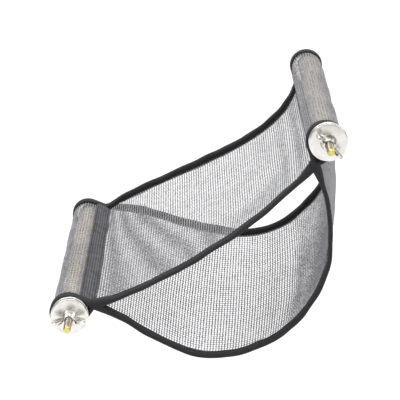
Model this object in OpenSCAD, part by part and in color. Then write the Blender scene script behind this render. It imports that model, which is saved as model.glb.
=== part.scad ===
// Two-layer mesh sling for a cage, hung between two clamp-on perches.
//
// Frame: the origin is the centre of the left clamp face, which is the front face of
// the left inner washer. +X runs level towards the right perch, +Y along the perches
// into the cage, +Z up. The wing nuts are on the -Y side, outside the cage bars.

/* [Perches] */
// Diameter of each wooden perch
perch_d = 18; // [16:0.5:18]
// Length of each wooden perch
perch_length = 240; // [200:5:300]
// Level distance between the two perches' centres
perch_span = 201; // [196:1:206]
// Height of the right perch above the left one
perch_rise = 144; // [140:1:148]

/* [Clamp hardware] */
// Thread diameter of the hanger bolts (M6)
thread_d = 6; // [5:1:6]
// How far each bolt stands out in front of its clamp face
stud_out = 30; // [26:1:40]
// How far each bolt is screwed into its perch
bolt_depth = 25; // [15:1:40]
// Outside diameter of the large washers
washer_d = 30; // [28:1:36]
// Thickness of the washers
washer_t = 1.5; // [1:0.1:2]
// Free gap between the two washers, which takes a cage wire
clamp_gap = 2.5; // [2.1:0.1:4]
// Width across both wings of a wing nut
wing_span = 27; // [25:1:30]
// Height of a wing nut's hub
hub_height = 8; // [7:0.5:10]
// How far the left wing nut is turned from level
left_nut_turn = 4; // [-90:1:90]
// How far the right wing nut is turned from level
right_nut_turn = -43; // [-90:1:90]

/* [Cloth] */
// Thickness of the mesh
mesh_t = 0.8; // [0.6:0.1:1]
// Outside radius of the sleeves round the perches
sleeve_r = 13.2; // [13.2:0.1:14]
// Distance from a sleeve's centre to the seam that closes it
seam_reach = 21; // [20:0.5:22]
// Thickness of each leaf of the edge tape
tape_t = 0.9; // [0.5:0.1:1]
// Width of the edge tape
tape_w = 9; // [7:0.5:11]
// Thickness of the hem along each sleeve
hem_t = 1.4; // [1:0.1:1.8]
// Height of the lower sheet's lowest point at its front edge
front_low = -38; // [-45:1:-32]
// Height of the lower sheet's lowest point at its back edge
back_low = -20; // [-32:0.5:-16]

/* [Hidden] */
$fn = 96;

washer_hole_d = thread_d + 0.4;
thread_clearance = 0.05;
edge_break = 0.3;
perch_chamfer = 0.8;
bore_spare = 1;

// The two perches, as [x, z] of their centre lines.
left_axis = [0, 0];
right_axis = [perch_span, perch_rise];

// Where things start and stop along the perches.
perch_front = washer_t;
outer_washer_y = -clamp_gap;
nut_y = outer_washer_y - washer_t;
cloth_front = perch_front + 0.4;
cloth_back = perch_front + perch_length - 0.1;
mesh_front = cloth_front + tape_t;
mesh_back = cloth_back - tape_t;

// The sleeves are a little larger than the perches and hang slightly to one side.
left_sleeve_at = left_axis + [-1.3, 0];
right_sleeve_at = right_axis + [-1.6, -1];
left_seam_angle = 16.7;
right_seam_angle = -111;
bead_r = 2.4;
// The bare part of a sleeve's side, before its hem starts.
hem_inset = 0.28;
// Angle at a sleeve's centre between its seam and where its sides leave the circle.
spread = acos(sleeve_r / seam_reach);
sheet_start = bead_r + 0.1;
binding_start = 4.8;

// Seams: the line where each sleeve closes and both sheets are sewn on.
left_seam = left_sleeve_at + polar(seam_reach, left_seam_angle);
right_seam = right_sleeve_at + polar(seam_reach, right_seam_angle);

// Hanging curves of the sheets, as Bezier control points in [x, z].
curve_steps = 10;
arc_steps = 48;
sheet_steps = 6;
low_front = [113, front_low];
low_back = [143, back_low];
bulge_front = [206, 62];
bulge_back = [226, 64];
upper_front = sling([[70, 21], [151, 72]]);
upper_back = sling([[72, 43], [176, 65]]);
lower_front = sling([
    [45, -3], [80, front_low], low_front,
    [162, front_low], [206, 4], bulge_front,
    [206, 85], [199, 106]
]);
lower_back = sling([
    [60, 6], [100, back_low], low_back,
    [190, back_low], [226, 23], bulge_back,
    [226, 92], [208, 114]
]);

function polar(r, a) = r * [cos(a), sin(a)];
function unit(v) = v / norm(v);
function towards(a, b, d) = a + d * unit(b - a);

function cubic(c, s, t) =
    pow(1 - t, 3) * c[s] + 3 * t * pow(1 - t, 2) * c[s + 1]
    + 3 * t * t * (1 - t) * c[s + 2] + pow(t, 3) * c[s + 3];

function chain(c) = [
    for (s = [0 : 3 : len(c) - 4])
        for (i = [(s == 0 ? 0 : 1) : curve_steps])
            cubic(c, s, i / curve_steps)
];

// A curve from the left seam to the right one, through the given control points.
function sling(c) = chain(concat(
    [towards(left_seam, c[0], sheet_start)], c,
    [towards(right_seam, c[len(c) - 1], sheet_start)]
));

function normal_at(p, i) =
    let (d = p[min(i + 1, len(p) - 1)] - p[max(i - 1, 0)]) unit([-d[1], d[0]]);

function band(p, t) = concat(
    [for (i = [0 : len(p) - 1]) p[i] + t / 2 * normal_at(p, i)],
    [for (i = [len(p) - 1 : -1 : 0]) p[i] - t / 2 * normal_at(p, i)]
);

function at_y(p, y) = [for (q = p) [q[0], y, q[1]]];

// Stands an [x, z] outline up and runs it along Y.
module along(y0, y1) {
    translate([0, y1, 0])
        rotate([90, 0, 0])
            linear_extrude(y1 - y0)
                children();
}

// ---- Perches and clamps ----

module dowel(at) {
    color("burlywood")
        translate([at[0], perch_front, at[1]])
            rotate([-90, 0, 0])
                difference() {
                    rotate_extrude()
                        polygon([
                            [0, 0],
                            [perch_d / 2 - perch_chamfer, 0],
                            [perch_d / 2, perch_chamfer],
                            [perch_d / 2, perch_length - perch_chamfer],
                            [perch_d / 2 - perch_chamfer, perch_length],
                            [0, perch_length]
                        ]);
                    translate([0, 0, -1])
                        cylinder(d = thread_d, h = 1 + bolt_depth + bore_spare);
                }
}

module hanger_bolt(at) {
    r = thread_d / 2;
    point = 3;
    color("goldenrod")
        translate([at[0], -stud_out, at[1]])
            rotate([-90, 0, 0])
                rotate_extrude()
                    polygon([
                        [0, 0],
                        [r - 2 * edge_break, 0],
                        [r, 2 * edge_break],
                        [r, stud_out + perch_front + bolt_depth - point],
                        [r / 3, stud_out + perch_front + bolt_depth],
                        [0, stud_out + perch_front + bolt_depth]
                    ]);
}

// A washer whose front face is at y.
module washer(at, y) {
    r = washer_d / 2;
    color("silver")
        translate([at[0], y, at[1]])
            rotate([-90, 0, 0])
                rotate_extrude()
                    polygon([
                        [washer_hole_d / 2, 0],
                        [r - edge_break, 0],
                        [r, edge_break],
                        [r, washer_t - edge_break],
                        [r - edge_break, washer_t],
                        [washer_hole_d / 2, washer_t]
                    ]);
}

module wing() {
    lobe_r = 4.3;
    lobe_x = wing_span / 2 - lobe_r;
    lobe_z = hub_height + 1.8;
    wing_t = 2.4;
    translate([0, wing_t / 2, 0])
        rotate([90, 0, 0])
            linear_extrude(wing_t) {
                translate([lobe_x, lobe_z])
                    circle(lobe_r);
                polygon([
                    [4, 0.8],
                    [lobe_x + 2.6, lobe_z - 3.4],
                    [lobe_x - 2.6, lobe_z + 3.4],
                    [4, hub_height - 1]
                ]);
            }
}

module wing_nut(at, turn) {
    base_r = 6.5;
    top_r = 5;
    color("lightgray")
        translate([at[0], nut_y, at[1]])
            rotate([90, 0, 0])
                rotate([0, 0, turn])
                    difference() {
                        union() {
                            rotate_extrude()
                                polygon([
                                    [0, 0],
                                    [base_r, 0],
                                    [base_r, 1],
                                    [top_r, hub_height - 0.6],
                                    [top_r - 0.6, hub_height],
                                    [0, hub_height]
                                ]);
                            wing();
                            rotate([0, 0, 180])
                                wing();
                        }
                        translate([0, 0, -1])
                            cylinder(r = thread_d / 2 + thread_clearance, h = hub_height + 2);
                    }
}

// ---- Cloth ----

// A round tube's outline drawn out to a point at the seam. The reach shrinks with the
// radius, so two of these keep an even wall between them.
module teardrop(r, angle) {
    polygon(concat(
        [for (i = [0 : arc_steps]) polar(r, angle + spread + (360 - 2 * spread) * i / arc_steps)],
        [polar(seam_reach * r / sleeve_r, angle)]
    ));
}

module sleeve_wall(angle) {
    difference() {
        teardrop(sleeve_r, angle);
        teardrop(sleeve_r - mesh_t, angle);
    }
}

module sleeve(at, angle) {
    color("gray")
        translate([at[0], 0, at[1]])
            along(mesh_front, mesh_back)
                sleeve_wall(angle);
}

// The doubled strip sewn over part of one side of a sleeve, with a rolled bead round the seam.
// Side is 1 where the strip lies anticlockwise of the seam, and -1 where it lies clockwise.
module hem(at, angle, side) {
    out = polar(1, angle + side * spread);
    seam = polar(seam_reach, angle);
    edge = sleeve_r * out + hem_inset * (seam - sleeve_r * out);
    bead_from = -side * (180 - asin(sleeve_r / seam_reach));
    bead_to = side * (180 - asin(sleeve_r / seam_reach) - asin(hem_t / bead_r));
    bead = [
        for (i = [0 : arc_steps / 4])
            seam + polar(bead_r, angle + bead_from + (bead_to - bead_from) * i * 4 / arc_steps)
    ];
    color("darkslategray")
        translate([at[0], 0, at[1]])
            along(cloth_front + tape_w, cloth_back - tape_w)
                polygon(concat([edge, seam], bead, [edge + hem_t * out]));
}

// The tape folded over a sleeve's end. The sleeve's edge lies in its slot.
module sleeve_binding(at, angle, y0) {
    color("black")
        translate([at[0], 0, at[1]])
            difference() {
                along(y0, y0 + tape_w)
                    difference() {
                        teardrop(sleeve_r + tape_t, angle);
                        teardrop(sleeve_r - mesh_t - tape_t, angle);
                    }
                along(mesh_front, mesh_back)
                    sleeve_wall(angle);
            }
}

// One sheet: its front outline runs straight back through the tape, changes evenly into
// the back outline, and runs straight again through the back tape. The faces over and
// under it are split along the same diagonals, so that the twisted cloth keeps its thickness.
module sheet(front, back) {
    front_y = cloth_front + tape_w;
    back_y = cloth_back - tape_w;
    stations = [
        at_y(band(front, mesh_t), mesh_front),
        for (k = [0 : sheet_steps])
            let (t = k / sheet_steps)
                at_y(
                    (1 - t) * band(front, mesh_t) + t * band(back, mesh_t),
                    (1 - t) * front_y + t * back_y
                ),
        at_y(band(back, mesh_t), mesh_back)
    ];
    n = len(stations[0]);
    last = n * (len(stations) - 1);
    color("darkgray")
        polyhedron(
            points = [for (s = stations) for (p = s) p],
            faces = concat(
                [
                    for (i = [0 : n / 2 - 2])
                        let (j = n - 1 - i)
                            each [[i, i + 1, j - 1, j], [last + j, last + j - 1, last + i + 1, last + i]]
                ],
                [
                    for (s = [0 : len(stations) - 2])
                        for (i = [0 : n - 1])
                            let (a = s * n + i, b = s * n + (i + 1) % n)
                                each i < n / 2
                                    ? [[a, b + n, b], [a, a + n, b + n]]
                                    : [[a, a + n, b], [b, a + n, b + n]]
                ]
            )
        );
}

// The tape folded over a sheet's edge, clear of the sleeves' own tape at both ends.
module edge_binding(profile, y0) {
    color("black")
        difference() {
            along(y0, y0 + tape_w)
                difference() {
                    polygon(band(profile, mesh_t + 2 * tape_t));
                    for (seam = [left_seam, right_seam])
                        translate(seam)
                            circle(binding_start);
                }
            along(mesh_front, mesh_back)
                polygon(band(profile, mesh_t));
        }
}

module left_dowel() { dowel(left_axis); }
module left_hanger_bolt() { hanger_bolt(left_axis); }
module left_inner_washer() { washer(left_axis, 0); }
module left_outer_washer() { washer(left_axis, nut_y); }
module left_wing_nut() { wing_nut(left_axis, left_nut_turn); }
module right_dowel() { dowel(right_axis); }
module right_hanger_bolt() { hanger_bolt(right_axis); }
module right_inner_washer() { washer(right_axis, 0); }
module right_outer_washer() { washer(right_axis, nut_y); }
module right_wing_nut() { wing_nut(right_axis, right_nut_turn); }
module upper_sheet() { sheet(upper_front, upper_back); }
module lower_sheet() { sheet(lower_front, lower_back); }
module left_sleeve() { sleeve(left_sleeve_at, left_seam_angle); }
module right_sleeve() { sleeve(right_sleeve_at, right_seam_angle); }
module left_hem() { hem(left_sleeve_at, left_seam_angle, 1); }
module right_hem() { hem(right_sleeve_at, right_seam_angle, -1); }
module upper_front_binding() { edge_binding(upper_front, cloth_front); }
module upper_back_binding() { edge_binding(upper_back, cloth_back - tape_w); }
module lower_front_binding() { edge_binding(lower_front, cloth_front); }
module lower_back_binding() { edge_binding(lower_back, cloth_back - tape_w); }
module left_sleeve_front_binding() {
    sleeve_binding(left_sleeve_at, left_seam_angle, cloth_front);
}
module left_sleeve_back_binding() {
    sleeve_binding(left_sleeve_at, left_seam_angle, cloth_back - tape_w);
}
module right_sleeve_front_binding() {
    sleeve_binding(right_sleeve_at, right_seam_angle, cloth_front);
}
module right_sleeve_back_binding() {
    sleeve_binding(right_sleeve_at, right_seam_angle, cloth_back - tape_w);
}

left_dowel();
left_hanger_bolt();
left_inner_washer();
left_outer_washer();
left_wing_nut();
right_dowel();
right_hanger_bolt();
right_inner_washer();
right_outer_washer();
right_wing_nut();
upper_sheet();
lower_sheet();
left_sleeve();
right_sleeve();
left_hem();
right_hem();
upper_front_binding();
upper_back_binding();
lower_front_binding();
lower_back_binding();
left_sleeve_front_binding();
left_sleeve_back_binding();
right_sleeve_front_binding();
right_sleeve_back_binding();
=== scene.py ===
"""Looks of a two-layer mesh cage hammock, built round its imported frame."""

import math

import bmesh
import bpy
import numpy as np
from bpy.props import FloatProperty, FloatVectorProperty, IntProperty, PointerProperty
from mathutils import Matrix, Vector, noise


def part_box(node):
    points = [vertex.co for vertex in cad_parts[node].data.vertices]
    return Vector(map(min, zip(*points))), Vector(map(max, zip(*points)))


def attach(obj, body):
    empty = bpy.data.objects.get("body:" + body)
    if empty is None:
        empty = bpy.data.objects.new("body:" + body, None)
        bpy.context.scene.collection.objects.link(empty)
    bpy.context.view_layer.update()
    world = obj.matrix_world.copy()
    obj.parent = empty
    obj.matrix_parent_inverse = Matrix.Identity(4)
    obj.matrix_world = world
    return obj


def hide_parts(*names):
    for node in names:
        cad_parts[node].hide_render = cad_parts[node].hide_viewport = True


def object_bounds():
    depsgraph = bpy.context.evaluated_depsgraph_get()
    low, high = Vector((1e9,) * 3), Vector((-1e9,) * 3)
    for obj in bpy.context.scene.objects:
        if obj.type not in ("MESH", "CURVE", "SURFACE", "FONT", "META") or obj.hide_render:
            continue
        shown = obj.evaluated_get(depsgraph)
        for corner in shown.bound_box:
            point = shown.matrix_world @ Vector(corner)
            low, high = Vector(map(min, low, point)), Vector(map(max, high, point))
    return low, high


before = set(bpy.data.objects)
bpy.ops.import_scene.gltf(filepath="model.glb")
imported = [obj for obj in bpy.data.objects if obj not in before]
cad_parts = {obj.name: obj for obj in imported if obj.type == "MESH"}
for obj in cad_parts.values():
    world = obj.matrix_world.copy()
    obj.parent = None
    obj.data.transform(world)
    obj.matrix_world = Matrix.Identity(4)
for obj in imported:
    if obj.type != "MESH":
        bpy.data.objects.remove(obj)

bl_info = {
    "name": "Cage hammock",
    "version": (1, 0, 0),
    "blender": (4, 5, 0),
    "location": "View3D > Sidebar > Hammock",
    "description": "Builds the net, tape, perches and clamps of a two-layer cage hammock",
    "category": "Object",
}

MM = 0.001
TURN = 2 * math.pi
BLACK, WHITE = (0, 0, 0), (1, 1, 1)
CAD_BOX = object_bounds()
SIDES = ("left", "right")
EDGES = ("front", "back")
# Which way along the perches is inwards from each edge.
INWARD = {"front": 1, "back": -1}


# ---------------------------------------------------------------- sizes from the frame

def axis_of(side):
    """The [x, z] of a perch's centre line."""
    low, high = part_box(f"{side}_dowel")
    return np.array([(low[0] + high[0]) / 2, (low[2] + high[2]) / 2])


AXES = {side: axis_of(side) for side in SIDES}
TAPE_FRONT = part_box("upper_front_binding")[0][1]
TAPE_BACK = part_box("upper_back_binding")[1][1]
TAPE_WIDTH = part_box("upper_front_binding")[1][1] - TAPE_FRONT
EDGE_AT = {"front": TAPE_FRONT, "back": TAPE_BACK}

# The cloth's outline, as in the CAD source: where each sleeve hangs, and the curves' control points.
SLEEVE_RADIUS = 13.2 * MM
SEAM_REACH = 21 * MM
SLEEVE_SHIFT = {"left": np.array([-1.3, 0.0]) * MM, "right": np.array([-1.6, -1.0]) * MM}
SEAM_ANGLE = {"left": math.radians(16.7), "right": math.radians(-111)}
HEM_SIDE = {"left": 1, "right": -1}
# The right hem is painted lighter, as a lit copy of the same hem cloth.
HEM_PAINTED_LIGHT = {"left": 1, "right": 4.2}
# The bare share of a sleeve's side, before its hem starts.
HEM_INSET = 0.28
WASHER_HOLE = 3.2 * MM
# A tape's stitch line is this far from its free edge, and this share of its thickness above its middle.
STITCH_INSET = 1.6 * MM
STITCH_RISE = 0.46
# Distance between the rings of points along an edge tape.
TAPE_STEP = 1.6 * MM
# A tape changes thickness within this distance of a seam.
SEAM_PULL = 22 * MM
# The net starts this far inside the tapes' outer edges.
NET_MARGIN = 0.9 * MM
# The net of a sleeve lies this far inside its outline.
SLEEVE_LINING = 0.4 * MM
CONTROLS = {
    ("upper", "front"): [(70, 21), (151, 72)],
    ("upper", "back"): [(72, 43), (176, 65)],
    ("lower", "front"): [
        (45, -3), (80, -38), (113, -38), (162, -38), (206, 4), (206, 62), (206, 85), (199, 106),
    ],
    ("lower", "back"): [
        (60, 6), (100, -20), (143, -20), (190, -20), (226, 23), (226, 64), (226, 92), (208, 114),
    ],
}


def polar(radius, angle):
    return radius * np.array([math.cos(angle), math.sin(angle)])


def sleeve_centre(side):
    return AXES[side] + SLEEVE_SHIFT[side]


def seam_at(side):
    return sleeve_centre(side) + polar(SEAM_REACH, SEAM_ANGLE[side])


# ---------------------------------------------------------------- settings

class NetSettings(bpy.types.PropertyGroup):
    rib_spacing: FloatProperty(
        name="Rib spacing", description="Distance between the net's ribs", default=2.35 * MM,
        unit="LENGTH")
    row_spacing: FloatProperty(
        name="Row spacing", description="Distance between the cross yarns", default=3.8 * MM,
        unit="LENGTH")
    rib_radius: FloatProperty(
        name="Rib radius", description="Radius of a rib between knots", default=0.44 * MM,
        unit="LENGTH")
    row_radius: FloatProperty(
        name="Cross yarn radius", description="Radius of a cross yarn", default=0.2 * MM, unit="LENGTH")
    knot_scale: FloatProperty(
        name="Knot size", description="How much thicker a rib is at a knot", default=1.3)
    sway: FloatProperty(
        name="Sway", description="How far a rib swings to each side, as a part of the spacing",
        default=0.05)
    upper_sag: FloatProperty(
        name="Upper sag", description="Sag of the upper sheet between its tapes", default=3 * MM,
        unit="LENGTH")
    lower_sag: FloatProperty(
        name="Lower sag", description="Bulge of the lower sheet between its tapes", default=4 * MM,
        unit="LENGTH")
    seed: IntProperty(name="Seed", description="Seed of the yarns' unevenness", default=4)


class TapeSettings(bpy.types.PropertyGroup):
    thickness: FloatProperty(
        name="Tape thickness", description="Thickness of the folded tape",
        default=3.4 * MM, unit="LENGTH")
    back_fullness: FloatProperty(
        name="Back fullness", description="How much thicker the back tapes are than the front ones",
        default=1.9)
    bunching: FloatProperty(
        name="Bunching", description="How much thicker a tape is where it is drawn into a seam",
        default=2.3)
    hem_thickness: FloatProperty(
        name="Hem thickness", description="Thickness of the hem on a sleeve",
        default=1.3 * MM, unit="LENGTH")
    stitch_length: FloatProperty(
        name="Stitch length", description="Length of one stitch", default=2.6 * MM, unit="LENGTH")
    stitch_gap: FloatProperty(
        name="Stitch gap", description="Gap between stitches", default=0.9 * MM, unit="LENGTH")
    stitch_radius: FloatProperty(
        name="Thread radius", description="Radius of the sewing thread",
        default=0.25 * MM, unit="LENGTH")


class ClampSettings(bpy.types.PropertyGroup):
    pitch: FloatProperty(
        name="Thread pitch", description="Advance of the stud's thread in a turn", default=1 * MM,
        unit="LENGTH")
    thread_depth: FloatProperty(
        name="Thread depth", description="Depth of the stud's thread", default=0.55 * MM, unit="LENGTH")
    cast_voxel: FloatProperty(
        name="Casting grain", description="Voxel that rounds the wing nuts",
        default=0.3 * MM, unit="LENGTH")


class FinishSettings(bpy.types.PropertyGroup):
    net_colour: FloatVectorProperty(
        name="Net", description="Colour of the net's yarn", subtype="COLOR", default=(0.38, 0.38, 0.4))
    # Painted shade: the darker colour the yarn takes where it piles up at a knot.
    knot_shade_colour: FloatVectorProperty(
        name="Knots", description="Colour where the net is knotted", subtype="COLOR",
        default=(0.045, 0.045, 0.05))
    # The hem's colour: its grey yarn darkened by painted shade in the doubled net's holes.
    hem_yarn_and_shade_colour: FloatVectorProperty(
        name="Hem", description="Colour of the doubled hem", subtype="COLOR",
        default=(0.042, 0.042, 0.047))
    tape_colour: FloatVectorProperty(
        name="Tape", description="Colour of the edge tape", subtype="COLOR",
        default=(0.0085, 0.0085, 0.011))
    wood_colour: FloatVectorProperty(
        name="Wood", description="Colour of the perches", subtype="COLOR", default=(0.86, 0.77, 0.66))
    # Painted reflection: the zinc's slight warmth stands in for warm reflections.
    zinc_and_warm_reflection_colour: FloatVectorProperty(
        name="Zinc", description="Colour of the washers and nuts", subtype="COLOR",
        default=(0.86, 0.84, 0.8))
    stud_colour: FloatVectorProperty(
        name="Stud", description="Colour of the studs", subtype="COLOR", default=(0.4, 0.33, 0.26))
    tip_colour: FloatVectorProperty(
        name="Stud tip", description="Colour of the studs' tips", subtype="COLOR",
        default=(0.75, 0.66, 0.22))


class StageSettings(bpy.types.PropertyGroup):
    camera_at: FloatVectorProperty(
        name="Camera", description="Camera's place", subtype="XYZ", unit="LENGTH",
        default=(0.1033, -1.1297, 0.4922))
    camera_pitch: FloatProperty(
        name="Pitch", description="How far the camera looks down", subtype="ANGLE",
        default=math.radians(19.3))
    lens: FloatProperty(name="Lens", description="Focal length in millimetres", default=139.5)
    floor_drop: FloatProperty(
        name="Floor drop", description="Height of the sling above the floor", default=0.3,
        unit="LENGTH")


class HammockSettings(bpy.types.PropertyGroup):
    net: PointerProperty(type=NetSettings)
    tape: PointerProperty(type=TapeSettings)
    clamp: PointerProperty(type=ClampSettings)
    finish: PointerProperty(type=FinishSettings)
    stage: PointerProperty(type=StageSettings)


def settings():
    return bpy.context.scene.hammock


# ---------------------------------------------------------------- shader maths

class Value:
    """A number in a node tree. Expressions on it add Math nodes."""

    def __init__(self, shader, socket):
        self.shader = shader
        self.socket = socket

    def _with(self, operation, other=None, swap=False):
        pair = [self, other] if not swap else [other, self]
        values = {i: v for i, v in enumerate(pair) if v is not None}
        return self.shader.math(operation, values)

    def __add__(self, other): return self._with("ADD", other)
    def __radd__(self, other): return self._with("ADD", other, True)
    def __sub__(self, other): return self._with("SUBTRACT", other)
    def __rsub__(self, other): return self._with("SUBTRACT", other, True)
    def __mul__(self, other): return self._with("MULTIPLY", other)
    def __rmul__(self, other): return self._with("MULTIPLY", other, True)
    def __pow__(self, other): return self._with("POWER", other)
    def __rpow__(self, other): return self._with("POWER", other, True)

    def ripple(self):
        """A sine wave from 0 to 1, with a crest for each whole number."""
        return (self * TURN)._with("SINE") * 0.5 + 0.5


class Shader:
    """A material with a Principled surface, and short calls that add nodes to it."""

    def __init__(self, name, **fixed):
        self.material = bpy.data.materials.new(name)
        self.material.use_nodes = True
        self.tree = self.material.node_tree
        self.surface = self.tree.nodes["Principled BSDF"]
        for socket, value in fixed.items():
            self.set(socket.replace("_", " "), value)

    def set(self, socket, value):
        """Gives the surface's socket a number, a colour or a link."""
        self._fill(self.surface.inputs[socket], value)

    def _fill(self, socket, value):
        if isinstance(value, Value):
            value = value.socket
        if isinstance(value, bpy.types.NodeSocket):
            self.tree.links.new(value, socket)
        elif socket.type == "RGBA" and len(value) == 3:
            socket.default_value = (*value, 1)
        else:
            socket.default_value = value

    def node(self, kind, options=None, sockets=None):
        """A node of a type, with its settings made first and its sockets filled after."""
        node = self.tree.nodes.new(kind)
        for name, value in (options or {}).items():
            setattr(node, name, value)
        for name, value in (sockets or {}).items():
            self._fill(node.inputs[name], value)
        return node

    def math(self, operation, values):
        return Value(self, self.node("ShaderNodeMath", {"operation": operation}, values).outputs[0])

    def ramp(self, value, stops):
        """Maps a number onto colours or greys, given as (place, colour) stops."""
        node = self.node("ShaderNodeValToRGB", sockets={"Fac": value})
        ramp = node.color_ramp
        while len(ramp.elements) < len(stops):
            ramp.elements.new(1)
        for element, (place, colour) in zip(ramp.elements, stops):
            element.position = place
            element.color = (*colour, 1)
        return node.outputs["Color"]

    def mix(self, factor, a, b):
        """Mixes two colours."""
        node = self.node("ShaderNodeMix", {"data_type": "RGBA"})
        self._fill(node.inputs[0], factor)
        self._fill(node.inputs[6], a)
        self._fill(node.inputs[7], b)
        return node.outputs[2]

    def object_place(self, scale=(1, 1, 1), centre=(0, 0, 0)):
        """Object coordinates, centred and then scaled."""
        here = self.node("ShaderNodeTexCoord").outputs["Object"]
        moved = self.node("ShaderNodeVectorMath", {"operation": "SUBTRACT"}, {0: here, 1: centre})
        mapping = self.node(
            "ShaderNodeMapping", {"vector_type": "POINT"},
            {"Vector": moved.outputs[0], "Scale": scale})
        return mapping.outputs["Vector"]

    def cloth_place(self):
        """The piece's own UV map, with its centimetres along the piece and across it."""
        here = self.node("ShaderNodeUVMap", {"uv_map": "Cloth"}).outputs["UV"]
        return here, *self.split(here, "XY")

    def split(self, place, names):
        """The named coordinates of a place, as values."""
        node = self.node("ShaderNodeSeparateXYZ", sockets={"Vector": place})
        return [Value(self, node.outputs[name]) for name in names]

    def noise(self, place, scale, detail=3.0, roughness=0.5):
        node = self.node(
            "ShaderNodeTexNoise", sockets={
                "Vector": place, "Scale": scale, "Detail": detail, "Roughness": roughness})
        return Value(self, node.outputs["Fac"])

    def bump(self, height, distance, strength=1.0):
        node = self.node(
            "ShaderNodeBump", sockets={"Height": height, "Distance": distance, "Strength": strength})
        self.set("Normal", node.outputs["Normal"])


def tint(colour, factor):
    return tuple(min(1.0, c * factor) for c in colour)


def yarn_material(name, colour, knot=None):
    """Spun polyester: an uneven grey with a fine twist, and painted shade where the yarns pile up at a
    knot.
    """
    s = Shader(name, Roughness=0.62, Sheen_Weight=0.12, Sheen_Roughness=0.5)
    place = s.object_place()
    uneven = s.noise(place, 900, 2)
    patch = s.noise(place, 35, 2)
    yarn = s.ramp(uneven * 0.6 + patch * 0.4, [
        (0.3, tint(colour, 0.55)), (0.5, colour), (0.72, tint(colour, 1.5))])
    if knot:
        thick = s.node("ShaderNodeAttribute", {"attribute_name": "thick"}).outputs["Fac"]
        # Painted shade at the knots: the thicker the yarn is there, the more it is darkened.
        knot_shade_mask = s.ramp((Value(s, thick) - 1.05) * 2.2, [(0, BLACK), (1, WHITE)])
        yarn = s.mix(knot_shade_mask, yarn, knot)
    s.set("Base Color", yarn)
    s.bump(s.noise(place, 2600, 1), 0.08 * MM)
    return s.material


def tape_material(name, colour, ribs_per_cm=14):
    """Ribbed tape: fine ribs across it, and near-black painted shade along the upper leaf's inner edge
    and where the under leaf looks out past it, a band that also stands for the tape's dark inner
    selvedge.
    """
    s = Shader(name, Roughness=0.75, Sheen_Weight=0.06, Sheen_Roughness=0.4)
    place, along, across = s.cloth_place()
    twill = (along * ribs_per_cm + across * ribs_per_cm * 0.5).ripple()
    cross = (across * 22).ripple()
    weave = twill * 0.7 + cross * 0.3
    patch = s.noise(place, 2.2, 3)
    cloth = s.ramp(weave * 0.45 + patch * 0.55, [
        (0.2, tint(colour, 0.6)), (0.5, colour), (0.8, tint(colour, 1.8))])
    # Painted shade: a near-black band over the upper leaf's inner edge and the under leaf beside it,
    # for the shadow in the step between the leaves and the tape's dark selvedge.
    under = s.ramp(across * 0.5, [
        (0, BLACK), (0.36, BLACK), (0.4, WHITE), (0.62, WHITE), (0.66, BLACK)])
    s.set("Base Color", s.mix(under, cloth, tint(colour, 0.35)))
    s.bump(weave, 0.12 * MM)
    return s.material


def hem_material(name, colour):
    """Doubled net pressed flat: ribs along the hem, knots across it, near-black painted shade in the
    holes between them, soft painted fold shading and an uneven mottling.
    """
    s = Shader(name, Roughness=0.75, Sheen_Weight=0.08)
    place, along, across = s.cloth_place()
    ribs = (across * 4.6).ripple()
    knots = (along * 5.3 + across * 2.3).ripple()
    mottling = s.noise(place, 5, 4, 0.7)
    # Painted shade: soft light and dark patches stand for the shading of folds.
    folds = s.noise(place, 1.3, 2)
    knit = ribs * 0.3 + knots * 0.25 + mottling * 0.5 + folds * 0.6
    # The ramp's dark end is painted shade in the holes of the doubled net.
    s.set("Base Color", s.ramp(knit, [
        (0.62, tint(colour, 0.2)), (0.81, colour), (0.96, tint(colour, 2.8))]))
    s.bump(knit, 0.25 * MM)
    return s.material


def wood_material(name, colour):
    """Sanded hardwood with fine grain running along the perch."""
    s = Shader(name, Roughness=0.68)
    place = s.object_place(scale=(1, 0.05, 1))
    grain = s.noise(place, 420, 4, 0.65)
    rings = s.noise(place, 60, 2)
    s.set("Base Color", s.ramp(grain * 0.6 + rings * 0.4, [
        (0.32, tint(colour, 0.55)), (0.5, colour), (0.7, tint(colour, 1.25))]))
    s.bump(grain, 0.12 * MM)
    return s.material


def brushed_material(name, colour, centre, rough=0.24):
    """Plated steel turned in rings round an axis along Y."""
    s = Shader(name, Metallic=1.0)
    place = s.object_place(centre=centre)
    x, z = s.split(place, "XZ")
    radius = (x * x + z * z) ** 0.5
    rings = s.noise(s.node("ShaderNodeCombineXYZ", sockets={"X": radius}).outputs[0], 4200, 2)
    smear = s.noise(place, 160, 3)
    s.set("Base Color", s.ramp(smear, [(0.3, tint(colour, 0.82)), (0.65, colour)]))
    s.set("Roughness", rings * 0.1 + smear * 0.12 + (rough - 0.1))
    s.bump(rings, 0.012 * MM, 0.6)
    return s.material


def cast_material(name, colour, rough=0.2):
    """Plated casting: bright, slightly grainy, duller in patches."""
    s = Shader(name, Metallic=1.0)
    place = s.object_place()
    grain = s.noise(place, 1500, 2)
    patch = s.noise(place, 220, 3)
    s.set("Base Color", s.ramp(patch, [(0.36, tint(colour, 0.3)), (0.56, colour)]))
    s.set("Roughness", patch * 0.2 + grain * 0.08 + (rough - 0.14))
    s.bump(grain, 0.03 * MM, 0.5)
    return s.material


def stud_material(colour, tip):
    """A plated stud, yellower at its cut tip."""
    s = Shader("stud_zinc", Metallic=1.0)
    place = s.object_place()
    along, = s.split(place, "Y")
    patch = s.noise(place, 400, 3)
    plated = s.ramp(patch, [(0.3, tint(colour, 0.7)), (0.65, tint(colour, 1.15))])
    inner = s.ramp((along + 0.0305) * 180, [(0.35, BLACK), (0.6, WHITE)])
    s.set("Base Color", s.mix(inner, tip, plated))
    s.set("Roughness", patch * 0.2 + 0.22)
    return s.material


# ---------------------------------------------------------------- curves and surfaces

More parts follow.
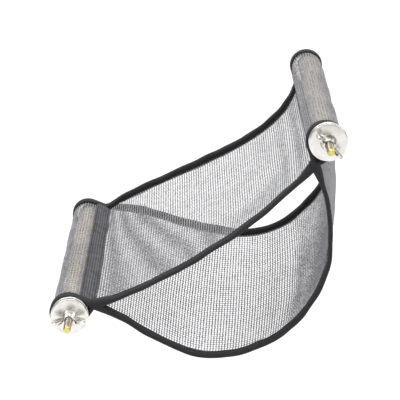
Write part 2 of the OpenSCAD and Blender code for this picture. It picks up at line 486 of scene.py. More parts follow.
def cubic_chain(points, steps=40):
    """Points along a chain of cubic Bezier spans."""
    points = np.array(points, float)
    t = np.linspace(0, 1, steps + 1)[:, None]
    spans = []
    for s in range(0, len(points) - 3, 3):
        a, b, c, d = points[s:s + 4]
        span = (1 - t) ** 3 * a + 3 * t * (1 - t) ** 2 * b + 3 * t * t * (1 - t) * c + t ** 3 * d
        spans.append(span if s == 0 else span[1:])
    return np.concatenate(spans)


def lengths(curve):
    """Distance along a curve at each of its points."""
    return np.concatenate([[0], np.cumsum(np.linalg.norm(np.diff(curve, axis=0), axis=1))])


def along_curve(curve, fractions):
    """Points at the given fractions of a curve's length."""
    run = lengths(curve)
    at = np.asarray(fractions) * run[-1]
    return np.stack([np.interp(at, run, curve[:, k]) for k in range(curve.shape[1])], axis=1)


def sling_curve(sheet, edge):
    """The [x, z] curve of a sheet's front or back edge, from seam to seam."""
    inner = [np.array(p, float) * MM for p in CONTROLS[sheet, edge]]
    return cubic_chain([seam_at("left"), *inner, seam_at("right")])


def unit(v):
    return v / np.linalg.norm(v, axis=-1, keepdims=True)


def beside(d):
    """Unit vectors a quarter turn from each of the [x, z] directions given."""
    return unit(np.stack([-d[..., 1], d[..., 0]], axis=-1))


def ease(t):
    t = np.clip(t, 0, 1)
    return t * t * (3 - 2 * t)


def uneven(x, y, scale, seed):
    """Smooth unevenness from -1 to 1 over a surface."""
    return noise.noise(Vector((x / scale, y / scale, seed * 7.3)))


class ClothSurface:
    """A sheet's middle surface: place(u, y) for u from seam to seam and y along the perches."""

    def __init__(self, sheet, sag, fold, seed):
        self.curves = {edge: sling_curve(sheet, edge) for edge in EDGES}
        self.length = sum(lengths(c)[-1] for c in self.curves.values()) / 2
        self.sag, self.fold, self.seed = sag, fold, seed

    def grid(self, us, ys):
        """Places on a grid, as an array of shape (u, y, 3)."""
        front = along_curve(self.curves["front"], us)
        back = along_curve(self.curves["back"], us)
        ends = TAPE_FRONT + TAPE_WIDTH, TAPE_BACK - TAPE_WIDTH
        v = np.clip((np.asarray(ys) - ends[0]) / (ends[1] - ends[0]), 0, 1)
        flat = front[:, None, :] * (1 - v)[None, :, None] + back[:, None, :] * v[None, :, None]
        out = -beside(np.gradient(flat, axis=0))
        u = np.asarray(us)[:, None]
        room = np.sin(math.pi * np.clip(u, 0, 1)) ** 0.7 * np.sin(math.pi * v)[None, :]
        lift = self.sag * room + self.fold(u, v[None, :])
        for i, ui in enumerate(us):
            for j, yj in enumerate(ys):
                calm = min(1.0, 4 * min(ui, 1 - ui)) * (0.25 + 0.75 * math.sin(math.pi * v[j]))
                lift[i, j] += 0.8 * MM * calm * uneven(ui * self.length, yj, 0.045, self.seed)
        flat = flat + out * lift[..., None]
        return np.stack([flat[..., 0], np.broadcast_to(ys, flat.shape[:2]), flat[..., 1]], axis=-1)


def upper_fold(u, v):
    """Soft folds beside the right seam, and a dip that runs beside the front tape."""
    near = ease((u - 0.72) / 0.2) * (1 - ease((u - 0.93) / 0.07))
    folds = 0.8 * MM * near * np.sin(u * 70 + v * 2.0) * np.sin(math.pi * v) ** 0.5
    span = ease((u - 0.45) / 0.2) * (1 - ease((u - 0.75) / 0.15))
    dip = np.exp(-((v - 0.22 - 0.5 * (u - 0.6)) / 0.13) ** 2)
    return folds + 1.6 * MM * span * dip


def lower_fold(u, v):
    """The crease where the lower sheet turns up, and the crumpling beside its right seam."""
    crease = 2.4 * MM * np.exp(-((u - 0.53 - 0.02 * v) / 0.03) ** 2)
    near = ease((u - 0.78) / 0.08) * (1 - ease((u - 0.94) / 0.06))
    crumple = 1.3 * MM * near * np.sin(24 * v + 40 * u)
    return (crease + crumple) * np.sin(math.pi * v) ** 0.5


class SleeveSurface:
    """A sleeve's middle surface: u from the seam, round the perch and back to the seam."""

    def __init__(self, side, seed):
        self.side, self.seed = side, seed
        radius = SLEEVE_RADIUS - SLEEVE_LINING
        reach = SEAM_REACH * radius / SLEEVE_RADIUS
        spread = math.acos(radius / reach)
        angle = SEAM_ANGLE[side]
        turn = np.linspace(spread, TURN - spread, 60)
        ring = [polar(radius, angle + t) for t in turn]
        outline = np.array([polar(reach, angle), *ring, polar(reach, angle)])
        self.outline = outline + sleeve_centre(side)
        self.length = lengths(self.outline)[-1]

    def grid(self, us, ys):
        ring = along_curve(self.outline, us)
        centre = sleeve_centre(self.side)
        out = -beside(np.gradient(ring, axis=0))
        out *= np.sign(np.sum(out * (ring - centre), axis=1, keepdims=True))
        places = np.zeros((len(us), len(ys), 3))
        for i, ui in enumerate(us):
            calm = min(1.0, 6 * min(ui, 1 - ui))
            for j, yj in enumerate(ys):
                end = min(yj - TAPE_FRONT, TAPE_BACK - yj) / (TAPE_BACK - TAPE_FRONT)
                lift = 0.7 * MM * calm * min(1.0, 8 * end) * uneven(ui * 0.09, yj, 0.03, self.seed)
                p = ring[i] + out[i] * lift
                places[i, j] = (p[0], yj, p[1])
        return places


# ---------------------------------------------------------------- mesh helpers

def link(obj):
    bpy.context.scene.collection.objects.link(obj)
    return obj


def mesh_object(name, vertices, faces, material=None, edges=()):
    mesh = bpy.data.meshes.new(name)
    mesh.from_pydata([tuple(map(float, v)) for v in vertices], [tuple(e) for e in edges], faces)
    if material:
        mesh.materials.append(material)
    return link(bpy.data.objects.new(name, mesh))


def outward(obj, merge=False):
    """Turns a closed mesh's faces outwards, after merging its doubles if asked."""
    bm = bmesh.new()
    bm.from_mesh(obj.data)
    if merge:
        bmesh.ops.remove_doubles(bm, verts=bm.verts, dist=1e-6)
    bmesh.ops.recalc_face_normals(bm, faces=bm.faces)
    bm.to_mesh(obj.data)
    bm.free()
    return obj


def smooth(obj, angle=None):
    obj.data.polygons.foreach_set("use_smooth", [True] * len(obj.data.polygons))
    if angle is not None:
        obj.data.set_sharp_from_angle(angle=angle)
    return obj


def baked(obj, name, body, material=None):
    """The evaluated object as a plain mesh object, which replaces it."""
    graph = bpy.context.evaluated_depsgraph_get()
    mesh = bpy.data.meshes.new_from_object(obj.evaluated_get(graph))
    source = obj.data
    bpy.data.objects.remove(obj)
    if source.users == 0:
        bpy.data.meshes.remove(source)
    mesh.name = name
    if material:
        mesh.materials.clear()
        mesh.materials.append(material)
    result = link(bpy.data.objects.new(name, mesh))
    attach(result, body)
    return result


def stands_for(piece, node, body):
    """Puts a piece on its body, in place of a CAD node."""
    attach(piece, body)
    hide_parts(node)


def joined(objects, name):
    """One object from several, with their materials kept."""
    bpy.ops.object.select_all(action="DESELECT")
    for o in objects:
        o.select_set(True)
    bpy.context.view_layer.objects.active = objects[0]
    bpy.ops.object.join()
    objects[0].name = name
    return objects[0]


def loft(name, rings, material, closed=False):
    """A closed skin through equal rings of points. UV: along the loft, and round each ring."""
    rings = np.array(rings, float)
    count, size = rings.shape[:2]
    vertices = rings.reshape(-1, 3)
    faces, uvs = [], []
    run = lengths(rings.mean(axis=1))
    if closed:
        run = np.append(run, run[-1] + np.linalg.norm(rings[-1].mean(axis=0) - rings[0].mean(axis=0)))
    girth = lengths(np.vstack([rings[0], rings[0][:1]]))
    for i in range(count if closed else count - 1):
        k = (i + 1) % count
        for j in range(size):
            m = (j + 1) % size
            faces.append((i * size + j, i * size + m, k * size + m, k * size + j))
            uvs += [(run[i], girth[j]), (run[i], girth[j + 1]), (run[i + 1], girth[j + 1]),
                    (run[i + 1], girth[j])]
    if not closed:
        faces.append(tuple(range(size - 1, -1, -1)))
        faces.append(tuple((count - 1) * size + j for j in range(size)))
        uvs += [(0, 0)] * (2 * size)
    obj = mesh_object(name, vertices, faces, material)
    layer = obj.data.uv_layers.new(name="Cloth")
    layer.data.foreach_set("uv", np.array(uvs, float).ravel() * 100)
    return smooth(outward(obj), math.radians(50))


def lathe(name, profile, x, z, material, steps=96):
    """Turns (radius, y) points round an axis along Y. Points at radius 0 close the ends."""
    vertices, faces, rings = [], [], []
    for r, y in profile:
        if r == 0:
            rings.append([len(vertices)])
            vertices.append((x, y, z))
        else:
            rings.append(list(range(len(vertices), len(vertices) + steps)))
            for k in range(steps):
                a = TURN * k / steps
                vertices.append((x + r * math.cos(a), y, z + r * math.sin(a)))
    pairs = list(zip(rings, rings[1:]))
    if len(rings[0]) > 1:
        pairs.append((rings[-1], rings[0]))
    for a, b in pairs:
        for k in range(steps):
            m = (k + 1) % steps
            quad = [a[k % len(a)], a[m % len(a)], b[m % len(b)], b[k % len(b)]]
            faces.append(tuple(dict.fromkeys(quad)))
    return smooth(outward(mesh_object(name, vertices, faces, material)), math.radians(40))


# ---------------------------------------------------------------- geometry node trees

class NodeTree:
    """A geometry node tree with named inputs and short calls that add nodes."""

    def __init__(self, name, **inputs):
        self.tree = bpy.data.node_groups.new(name, "GeometryNodeTree")
        face = self.tree.interface
        face.new_socket("Geometry", in_out="INPUT", socket_type="NodeSocketGeometry")
        self.names = {}
        for label, (kind, value) in inputs.items():
            socket = face.new_socket(label.replace("_", " "), in_out="INPUT", socket_type=kind)
            if value is not None:
                socket.default_value = value
            self.names[label] = socket.identifier
        face.new_socket("Geometry", in_out="OUTPUT", socket_type="NodeSocketGeometry")
        self.start = self.tree.nodes.new("NodeGroupInput")
        self.end = self.tree.nodes.new("NodeGroupOutput")

    def input(self, label):
        return self.start.outputs[label.replace("_", " ")]

    def node(self, kind, options=None, sockets=None):
        node = self.tree.nodes.new(kind)
        for name, value in (options or {}).items():
            setattr(node, name, value)
        for name, value in (sockets or {}).items():
            if isinstance(value, bpy.types.Node):
                value = value.outputs[0]
            if isinstance(value, bpy.types.NodeSocket):
                self.tree.links.new(value, node.inputs[name])
            else:
                node.inputs[name].default_value = value
        return node

    def finish(self, geometry):
        """Ends the tree in Realize Instances and Set Material."""
        real = self.node("GeometryNodeRealizeInstances", sockets={"Geometry": geometry})
        done = self.node(
            "GeometryNodeSetMaterial", sockets={"Geometry": real, "Material": self.input("Material")})
        self.tree.links.new(done.outputs[0], self.end.inputs[0])
        return self

    def apply_to(self, obj, **values):
        modifier = obj.modifiers.new(self.tree.name, "NODES")
        modifier.node_group = self.tree
        for label, value in values.items():
            modifier[self.names[label]] = value
        return obj


def named(tree, name, kind="FLOAT"):
    return tree.node(
        "GeometryNodeInputNamedAttribute", {"data_type": kind}, {"Name": name}).outputs["Attribute"]


def net_tree():
    """Turns a grid of edges into yarns: ribs thickened at their knots, and thinner cross yarns."""
    t = NodeTree(
        "Net yarns",
        Rib_Radius=("NodeSocketFloat", 0.0004), Row_Radius=("NodeSocketFloat", 0.0003),
        Material=("NodeSocketMaterial", None))
    parts = t.node(
        "GeometryNodeSeparateGeometry", {"domain": "EDGE"},
        {"Geometry": t.input("Geometry"), "Selection": named(t, "rib", "BOOLEAN")})
    yarns = []
    for socket, radius, sides in ((0, "Rib_Radius", 4), (1, "Row_Radius", 3)):
        curve = t.node("GeometryNodeMeshToCurve", sockets={"Mesh": parts.outputs[socket]})
        ring = t.node(
            "GeometryNodeCurvePrimitiveCircle",
            sockets={"Resolution": sides, "Radius": t.input(radius)})
        tube = t.node(
            "GeometryNodeCurveToMesh",
            sockets={"Curve": curve, "Profile Curve": ring, "Scale": named(t, "thick"),
                     "Fill Caps": True})
        if radius == "Row_Radius":
            tube = t.node(
                "GeometryNodeStoreNamedAttribute", {"data_type": "FLOAT", "domain": "POINT"},
                {"Geometry": tube, "Name": "thick", "Value": 1.0})
        yarns.append(tube)
    both = t.node("GeometryNodeJoinGeometry")
    for tube in yarns:
        t.tree.links.new(tube.outputs[0], both.inputs[0])
    even = t.node("GeometryNodeSetShadeSmooth", sockets={"Geometry": both})
    return t.finish(even)


def stitch_tree():
    """Sews a running stitch along a line of edges."""
    t = NodeTree(
        "Running stitch",
        Spacing=("NodeSocketFloat", 0.0035), Length=("NodeSocketFloat", 0.0026),
        Thread_Radius=("NodeSocketFloat", 0.00025), Material=("NodeSocketMaterial", None))
    curve = t.node("GeometryNodeMeshToCurve", sockets={"Mesh": t.input("Geometry")})
    points = t.node(
        "GeometryNodeCurveToPoints", {"mode": "LENGTH"}, {"Curve": curve, "Length": t.input("Spacing")})
    stitch = t.node(
        "GeometryNodeMeshCylinder",
        sockets={"Vertices": 6, "Side Segments": 1, "Radius": t.input("Thread_Radius"),
                 "Depth": t.input("Length")})
    placed = t.node(
        "GeometryNodeInstanceOnPoints",
        sockets={"Points": points.outputs["Points"], "Instance": stitch.outputs["Mesh"],
                 "Rotation": points.outputs["Rotation"]})
    return t.finish(placed)


# ---------------------------------------------------------------- cloth pieces

MADE = {}


def shared(key, make):
    """A material or a node tree, made once and then used again."""
    if key not in MADE:
        MADE[key] = make()
    return MADE[key]


def net_finish():
    finish = settings().finish
    return shared("net", lambda: yarn_material("net_yarn", finish.net_colour, finish.knot_shade_colour))


def tape_finish():
    return shared("tape", lambda: tape_material("binding_tape", settings().finish.tape_colour))


def thread_finish():
    return shared("thread", lambda: yarn_material(
        "sewing_thread", tint(settings().finish.tape_colour, 1.6)))


def knit(surface, name, node, held, rests_on, row_scale=1.0):
    """A net on a cloth surface, in place of a CAD node of the sling."""
    yarns = net_on(surface, name, row_scale)
    piece = baked(yarns, name, "sling")
    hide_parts(node)


def net_on(surface, name, row_scale):
    """The net's yarns on a cloth surface, as a mesh object still carrying its node tree."""
    net = settings().net
    ribs = max(4, int(round(surface.length / net.rib_spacing)))
    first, last = TAPE_FRONT + NET_MARGIN, TAPE_BACK - NET_MARGIN
    rows = int(round((last - first) / net.row_spacing))
    us = (np.arange(ribs) + 0.5) / ribs
    ys = np.linspace(first, last, 2 * rows + 1)
    place = surface.grid(us, ys)
    sway = net.sway * net.rib_spacing * np.where(np.arange(len(ys)) // 2 % 2 == 0, 1, -1)
    place = place + unit(np.gradient(place, axis=0)) * sway[None, :, None]
    n_y = len(ys)
    edges, rib_flags = [], []
    for i in range(ribs):
        for j in range(n_y - 1):
            edges.append((i * n_y + j, i * n_y + j + 1))
            rib_flags.append(True)
        if i + 1 < ribs:
            for j in range(0, n_y, 2):
                edges.append((i * n_y + j, (i + 1) * n_y + j))
                rib_flags.append(False)
    obj = mesh_object(name, place.reshape(-1, 3), [], net_finish(), edges)
    thick = obj.data.attributes.new("thick", "FLOAT", "POINT")
    scales = np.ones((ribs, n_y))
    scales[:, ::2] = net.knot_scale
    rng = np.random.default_rng(net.seed)
    scales *= rng.uniform(0.84, 1.16, scales.shape)
    thick.data.foreach_set("value", scales.ravel())
    flag = obj.data.attributes.new("rib", "BOOLEAN", "EDGE")
    flag.data.foreach_set("value", rib_flags)
    return shared("net_tree", net_tree).apply_to(
        obj, Rib_Radius=net.rib_radius, Row_Radius=net.row_radius * row_scale, Material=net_finish())


def tape_lie(toward):
    """An edge tape's thickness, and how far its middle is above the net: the back ones are raised."""
    tape = settings().tape
    if toward > 0:
        return tape.thickness, 0.0
    full = tape.thickness * tape.back_fullness
    return full, 0.27 * full


def tape_section(thickness, toward, pucker=0.0):
    """The folded tape's section in [across, out]. Its under leaf looks out past its upper one."""
    h, over, under = thickness / 2, TAPE_WIDTH + 0.7 * MM + pucker, TAPE_WIDTH + 1.5 * MM + pucker
    points = [
        (0, 0), (0.3 * h, 0.7 * h), (1.1 * h, h), (0.5 * over, 0.95 * h), (over - 0.3 * h, 0.85 * h),
        (over, 0.45 * h), (over + 0.1 * MM, -0.33 * MM), (under - 0.2 * MM, -0.36 * MM),
        (under, -0.6 * MM), (under - 0.5 * h, -0.85 * h), (0.5 * over, -0.95 * h), (1.1 * h, -h),
        (0.3 * h, -0.7 * h)]
    return [(toward * x, y) for x, y in points]


def placed(section, point, out, y_edge, lift):
    """A section set at an [x, z] point, square to the tape's run there."""
    return [
        (point[0] + out[0] * (o + lift), y_edge + a, point[1] + out[1] * (o + lift))
        for a, o in section]


def edge_tape(name, curve, y_edge, toward, seed):
    """Tape folded over a sheet's front or back edge."""
    tape = settings().tape
    full, rise = tape_lie(toward)
    # The front tapes are thicker by the seams, and the back ones are thinner and more uneven.
    drawn, roughness = (tape.bunching - 1, 0.12) if toward > 0 else (-0.35, 0.34)
    run = lengths(curve)[-1]
    count = int(run / TAPE_STEP)
    us = np.linspace(0.0, 1.0, count)
    line = along_curve(curve, us)
    out = beside(np.gradient(line, axis=0))
    for end, inner in ((0, 1), (-1, -2)):
        line[end] += 3 * MM * unit(line[end] - line[inner])
    rings = []
    for k in range(count):
        s = us[k] * run
        pucker = 1.2 * MM * uneven(s, seed, 0.013, seed)
        wave = 1.1 * MM * uneven(s, seed + 3.0, 0.019, seed) * min(1, min(us[k], 1 - us[k]) * 12)
        near = 1 - ease(min(us[k], 1 - us[k]) * run / SEAM_PULL)
        swell = 1 + roughness * uneven(s, seed + 9.0, 0.016, seed)
        section = tape_section(full * (swell + drawn * near), toward, pucker)
        rings.append(placed(section, line[k], out[k], y_edge, wave + rise))
    return loft(name, rings, tape_finish())


def sew(name, points):
    """A running stitch along a line of points."""
    tape = settings().tape
    edges = [(i, i + 1) for i in range(len(points) - 1)]
    thread = mesh_object(name, points, [], thread_finish(), edges)
    shared("stitch_tree", stitch_tree).apply_to(
        thread, Spacing=tape.stitch_length + tape.stitch_gap, Length=tape.stitch_length,
        Thread_Radius=tape.stitch_radius, Material=thread_finish())
    baked(thread, name, "sling")


def sew_tape(name, curve, y, lift):
    """A stitch line on one face of an edge tape."""
    line = along_curve(curve, np.linspace(0.01, 0.99, 160))
    out = beside(np.gradient(line, axis=0))
    sew(name, [(p[0] + n[0] * lift, y, p[1] + n[1] * lift) for p, n in zip(line, out)])


# ---------------------------------------------------------------- operators

class HAMMOCK_OT_perches(bpy.types.Operator):
    """Gives the two perches their wood"""
    bl_idname = "hammock.perches"
    bl_label = "Perches"

    def execute(self, context):
        wood = wood_material("perch_wood", settings().finish.wood_colour)
        for side in SIDES:
            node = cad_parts[f"{side}_dowel"]
            node.data.materials.clear()
            node.data.materials.append(wood)
        return {"FINISHED"}


def stud(side, material):
    """A hanger bolt with a real helical thread on its free end."""
    clamp = settings().clamp
    low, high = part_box(f"{side}_hanger_bolt")
    radius = (high[0] - low[0]) / 2
    x, z = AXES[side]
    steps, thread_end = 24, 1 * MM
    turns = int((thread_end - low[1]) / clamp.pitch) - 1
    vertices, faces = [], []
    # The thread's crest and root run on as one helix, and shrink to the core at both ends.
    count = turns * steps + 1
    for i in range(count):
        angle = TURN * i / steps
        y = low[1] + 0.7 * MM + clamp.pitch * i / steps
        lead = min(1.0, i / steps, (count - 1 - i) / steps)
        for shift, depth in ((0, 0), (0.12, 0), (0.5, 1), (0.62, 1)):
            r = radius - 0.02 * MM - clamp.thread_depth * (depth * lead + (1 - lead))
            vertices.append((x + r * math.cos(angle), y + shift * clamp.pitch, z + r * math.sin(angle)))
    for i in range(count - 1):
        for j in range(3):
            a = i * 4 + j
            faces.append((a, a + 1, a + 5, a + 4))
        if i + 1 + steps < count:
            a, b = i * 4 + 3, (i + steps) * 4
            faces.append((a, b, b + 4, a + 4))
    thread = smooth(mesh_object(f"{side}_stud_thread", vertices, faces, material), math.radians(35))
    core = radius - clamp.thread_depth
    profile = [
        (0, low[1]), (core - 0.3 * MM, low[1]), (core, low[1] + 0.5 * MM), (core, 0.0),
        (radius, 0.6 * MM), (radius, high[1] - 3 * MM), (radius / 3, high[1]), (0, high[1]),
    ]
    body = lathe(f"{side}_stud_core", profile, x, z, material, 40)
    return joined([body, thread], f"{side}_stud")


class HAMMOCK_OT_hanger_bolts(bpy.types.Operator):
    """Threads the two studs"""
    bl_idname = "hammock.hanger_bolts"
    bl_label = "Hanger bolts"

    def execute(self, context):
        finish = stud_material(settings().finish.stud_colour, settings().finish.tip_colour)
        for side in SIDES:
            stands_for(stud(side, finish), f"{side}_hanger_bolt", f"{side}_perch")
        return {"FINISHED"}


class HAMMOCK_OT_washers(bpy.types.Operator):
    """Turns the four washers, with rounded rims and a slight dish"""
    bl_idname = "hammock.washers"
    bl_label = "Washers"

    def execute(self, context):
        for side in SIDES:
            x, z = AXES[side]
            finish = brushed_material(
                f"{side}_washer_zinc", settings().finish.zinc_and_warm_reflection_colour, (x, 0, z))
            for place, body in (("inner", f"{side}_perch"), ("outer", f"{side}_clamp_washer")):
                node = f"{side}_{place}_washer"
                low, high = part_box(node)
                radius = (high[0] - low[0]) / 2
                piece = lathe(node + "_turned", self.profile(radius, low[1], high[1]), x, z, finish)
                stands_for(piece, node, body)
        return {"FINISHED"}

    def profile(self, radius, front, back):
        """A stamped washer: rolled over at the front rim, sharper at the back."""
        hole = WASHER_HOLE
        return [
            (hole, front + 0.25 * MM), (hole + 0.25 * MM, front), (radius * 0.6, front),
            (radius - 0.9 * MM, front), (radius - 0.4 * MM, front + 0.08 * MM),
            (radius - 0.1 * MM, front + 0.32 * MM), (radius, front + 0.65 * MM),
            (radius, back - 0.2 * MM), (radius - 0.2 * MM, back), (hole + 0.2 * MM, back),
            (hole, back - 0.2 * MM),
        ]


class HAMMOCK_OT_wing_nuts(bpy.types.Operator):
    """Rounds the wing nuts into castings"""
    bl_idname = "hammock.wing_nuts"
    bl_label = "Wing nuts"

    def execute(self, context):
        finish = cast_material("nut_bright_zinc", settings().finish.zinc_and_warm_reflection_colour, 0.18)
        for side in SIDES:
            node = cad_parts[f"{side}_wing_nut"]
            piece = node.copy()
            piece.data = node.data.copy()
            piece.parent = None
            piece.name = f"{side}_wing_nut_cast"
            link(piece)
            piece.data.materials.clear()
            outward(piece, merge=True)
            grain = piece.modifiers.new("Cast", "REMESH")
            grain.mode, grain.voxel_size = "VOXEL", settings().clamp.cast_voxel
            soften = piece.modifiers.new("Soften", "SMOOTH")
            soften.factor, soften.iterations = 0.5, 5
            piece = baked(piece, f"{side}_wing_nut_cast", f"{side}_clamp_nut", finish)
            smooth(piece)
            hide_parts(f"{side}_wing_nut")
        return {"FINISHED"}


class HAMMOCK_OT_sheets(bpy.types.Operator):
    """Knits the two sheets of net"""
    bl_idname = "hammock.sheets"
    bl_label = "Sheets"

    def execute(self, context):
        net = settings().net
        # The upper net looks the finer of the two, so its cross yarns are drawn thinner.
        plans = (
            ("upper", net.upper_sag, upper_fold, 5, 0.55),
            ("lower", net.lower_sag, lower_fold, 6, 1.15))
        for sheet, sag, fold, seed, row_scale in plans:
            knit(
                ClothSurface(sheet, sag, fold, net.seed + seed), f"{sheet}_net", f"{sheet}_sheet",
                "hung", ["left_dowel", "right_dowel"], row_scale)
        return {"FINISHED"}


class HAMMOCK_OT_sleeves(bpy.types.Operator):
    """Knits the sleeves round the perches"""
    bl_idname = "hammock.sleeves"
    bl_label = "Sleeves"

    def execute(self, context):
        for seed, side in enumerate(SIDES, 11):
            knit(
                SleeveSurface(side, seed), f"{side}_sleeve_net", f"{side}_sleeve",
                "folded", [f"{side}_dowel"])
        return {"FINISHED"}


class HAMMOCK_OT_hems(bpy.types.Operator):
    """Folds the hem along each sleeve and sews it"""
    bl_idname = "hammock.hems"
    bl_label = "Hems"

    def execute(self, context):
        for seed, side in enumerate(SIDES, 21):
            self.hem(side, seed)
        return {"FINISHED"}

    def hem(self, side, seed):
        tape = settings().tape
        spread = math.acos(SLEEVE_RADIUS / SEAM_REACH)
        out = polar(1, SEAM_ANGLE[side] + HEM_SIDE[side] * spread)
        start = sleeve_centre(side) + SLEEVE_RADIUS * out
        seam = seam_at(side)
        start = start + HEM_INSET * (seam - start)
        run = unit(seam - start)
        width = np.linalg.norm(seam - start)
        t = tape.hem_thickness
        section = [
            (-0.8 * MM, 0.1 * t), (-0.5 * MM, 0.7 * t), (0.15 * width, t), (0.5 * width, 0.95 * t),
            (0.86 * width, 1.05 * t), (width + 1.0 * MM, 1.0 * t), (width + 2.0 * MM, 0.2 * t),
            (width + 2.0 * MM, -0.8 * t), (width + 0.8 * MM, -1.3 * t), (width - 0.4 * MM, -0.9 * t),
            (width - 0.9 * MM, 0.05 * t), (0.5 * width, 0.02 * t)]
        ys = np.linspace(TAPE_FRONT + TAPE_WIDTH - 1 * MM, TAPE_BACK - TAPE_WIDTH + 1 * MM, 110)
        rings = []
        for y in ys:
            wave = 0.25 * MM * uneven(y, seed, 0.012, seed)
            bow = 0.5 * MM * uneven(y, seed, 0.03, seed + 5)
            places = [
                start + run * (a + bow * (0.2 + a / width)) + out * (o + wave * (o > 0))
                for a, o in section]
            rings.append([(x, y, z) for x, z in places])
        # Painted light: the right hem gets a lighter copy of the hem colour.
        colour = tint(settings().finish.hem_yarn_and_shade_colour, HEM_PAINTED_LIGHT[side])
        hem = loft(f"{side}_hem_fold", rings, hem_material(f"{side}_hem_cloth_with_painted_light", colour))
        stands_for(hem, f"{side}_hem", "sling")
        for n, at in enumerate((0.06, 0.9)):
            p = start + run * width * at + out * (t + 0.12 * MM)
            sew(f"{side}_hem_stitches_{n}", [(p[0], y, p[1]) for y in ys])


class HAMMOCK_OT_edge_tapes(bpy.types.Operator):
    """Binds the sheets' front and back edges"""
    bl_idname = "hammock.edge_tapes"
    bl_label = "Edge tapes"

    def execute(self, context):
        seed = 31
        for sheet in ("upper", "lower"):
            for edge in EDGES:
                curve = sling_curve(sheet, edge)
                toward, y_edge = INWARD[edge], EDGE_AT[edge]
                name = f"{sheet}_{edge}_tape"
                piece = edge_tape(name, curve, y_edge, toward, seed)
                stands_for(piece, f"{sheet}_{edge}_binding", "sling")
                y_stitch = y_edge + toward * (TAPE_WIDTH - STITCH_INSET)
                full, rise = tape_lie(toward)
                for n, face in enumerate((1, -1)):
                    lift = rise + face * full * STITCH_RISE
                    sew_tape(f"{name}_stitches_{n}", curve, y_stitch, lift)
                seed += 1
        return {"FINISHED"}


class HAMMOCK_OT_sleeve_tapes(bpy.types.Operator):
    """Binds both ends of each sleeve"""
    bl_idname = "hammock.sleeve_tapes"
    bl_label = "Sleeve tapes"

    def execute(self, context):
        for seed, side in enumerate(SIDES, 41):
            for edge in EDGES:
                self.ring(side, edge, seed)
        return {"FINISHED"}

    def ring(self, side, edge, seed):
        tape = settings().tape
        outline = SleeveSurface(side, seed).outline
        count = 90
        toward, y_edge = INWARD[edge], EDGE_AT[edge]
        line = along_curve(outline, np.linspace(0, 1, count, endpoint=False))
        out = -beside(np.roll(line, -1, axis=0) - np.roll(line, 1, axis=0))
        # The front tape is fuller, and is set outwards so that it clears the perch.
        full, proud = (1.25, 0.4 * MM) if toward > 0 else (1.05, 0.0)
        rings = []
        for k in range(count):
            pucker = 0.5 * MM * uneven(k * MM, seed, 0.011, seed)
            section = tape_section(full * tape.thickness, toward, pucker)
            rings.append(placed(section, line[k], out[k], y_edge, proud))
        piece = loft(f"{side}_sleeve_{edge}_tape", rings, tape_finish(), closed=True)
        stands_for(piece, f"{side}_sleeve_{edge}_binding", "sling")


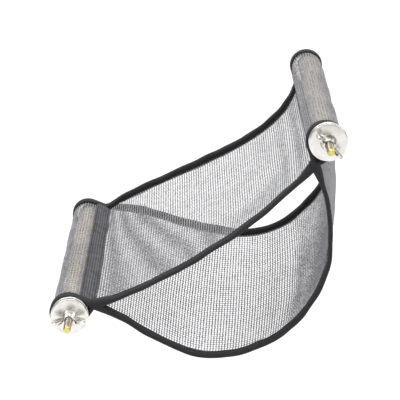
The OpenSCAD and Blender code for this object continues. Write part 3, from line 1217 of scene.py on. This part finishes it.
class HAMMOCK_OT_stage(bpy.types.Operator):
    """Sets the floor, the lights and the camera"""
    bl_idname = "hammock.stage"
    bl_label = "Stage"

    def execute(self, context):
        stage = settings().stage
        scene = context.scene
        camera = link(bpy.data.objects.new("camera", bpy.data.cameras.new("camera")))
        camera.location = stage.camera_at
        camera.rotation_euler = (math.radians(90) - stage.camera_pitch, 0, 0)
        camera.data.lens = stage.lens
        camera.data.sensor_width = 36
        camera.data.clip_start, camera.data.clip_end = 0.01, 50
        scene.camera = camera
        low, high = CAD_BOX
        centre = (low + high) / 2
        self.floor(low[2] - stage.floor_drop, centre)
        self.lamp("key", (-2.0, -1.8, 3.0), centre, 1.6, 50)
        self.lamp("fill", (2.6, -1.6, 1.6), centre, 1.6, 20)
        self.lamp("top", (0.3, 2.6, 3.4), centre, 2.0, 60)
        world = bpy.data.worlds.new("studio")
        world.use_nodes = True
        self.sky(world.node_tree)
        scene.world = world
        scene.view_settings.view_transform = "Standard"
        return {"FINISHED"}

    def sky(self, tree):
        """A studio that is bright overhead and dimmer round the sides."""
        place = tree.nodes.new("ShaderNodeTexCoord")
        split = tree.nodes.new("ShaderNodeSeparateXYZ")
        shade = tree.nodes.new("ShaderNodeValToRGB")
        tree.links.new(place.outputs["Generated"], split.inputs["Vector"])
        tree.links.new(split.outputs["Z"], shade.inputs["Fac"])
        tree.links.new(shade.outputs["Color"], tree.nodes["Background"].inputs["Color"])
        for element, (height, grey) in zip(shade.color_ramp.elements, ((0.02, 0.16), (0.55, 1.0))):
            element.position, element.color = height, (grey, grey, grey, 1)
        tree.nodes["Background"].inputs["Strength"].default_value = 0.9

    def floor(self, height, centre):
        pale = Shader("pale_floor", Base_Color=(0.92, 0.92, 0.92), Roughness=0.9)
        size = 8.0
        corners = [(-size, -size), (size, -size), (size, size), (-size, size)]
        floor = mesh_object(
            "floor", [(centre[0] + x, centre[1] + y, height) for x, y in corners],
            [(0, 1, 2, 3)], pale.material)

    def lamp(self, name, place, target, size, power):
        data = bpy.data.lights.new(name, "AREA")
        data.energy, data.size = power, size
        lamp = link(bpy.data.objects.new(name, data))
        lamp.location = Vector(place)
        lamp.rotation_euler = (target - Vector(place)).to_track_quat("-Z", "Y").to_euler()


class HAMMOCK_PT_panel(bpy.types.Panel):
    """Lists the hammock's settings and steps"""
    bl_label = "Cage hammock"
    bl_space_type = "VIEW_3D"
    bl_region_type = "UI"
    bl_category = "Hammock"

    def draw(self, context):
        for group in ("net", "tape", "clamp", "finish", "stage"):
            box = self.layout.box()
            values = getattr(settings(), group)
            for name in values.bl_rna.properties.keys():
                if name not in ("rna_type", "name"):
                    box.prop(values, name)
        for step in STEPS:
            self.layout.operator(step.bl_idname)


STEPS = (
    HAMMOCK_OT_stage,
    HAMMOCK_OT_perches,
    HAMMOCK_OT_hanger_bolts,
    HAMMOCK_OT_washers,
    HAMMOCK_OT_wing_nuts,
    HAMMOCK_OT_sheets,
    HAMMOCK_OT_sleeves,
    HAMMOCK_OT_hems,
    HAMMOCK_OT_edge_tapes,
    HAMMOCK_OT_sleeve_tapes,
)
CLASSES = (
    NetSettings, TapeSettings, ClampSettings, FinishSettings, StageSettings, HammockSettings,
    *STEPS, HAMMOCK_PT_panel,
)


def register():
    for cls in CLASSES:
        bpy.utils.register_class(cls)
    bpy.types.Scene.hammock = PointerProperty(type=HammockSettings)


def unregister():
    del bpy.types.Scene.hammock
    for cls in reversed(CLASSES):
        bpy.utils.unregister_class(cls)


def main():
    register()
    for step in STEPS:
        group, name = step.bl_idname.split(".")
        getattr(getattr(bpy.ops, group), name)()


if __name__ == "__main__":
    main()
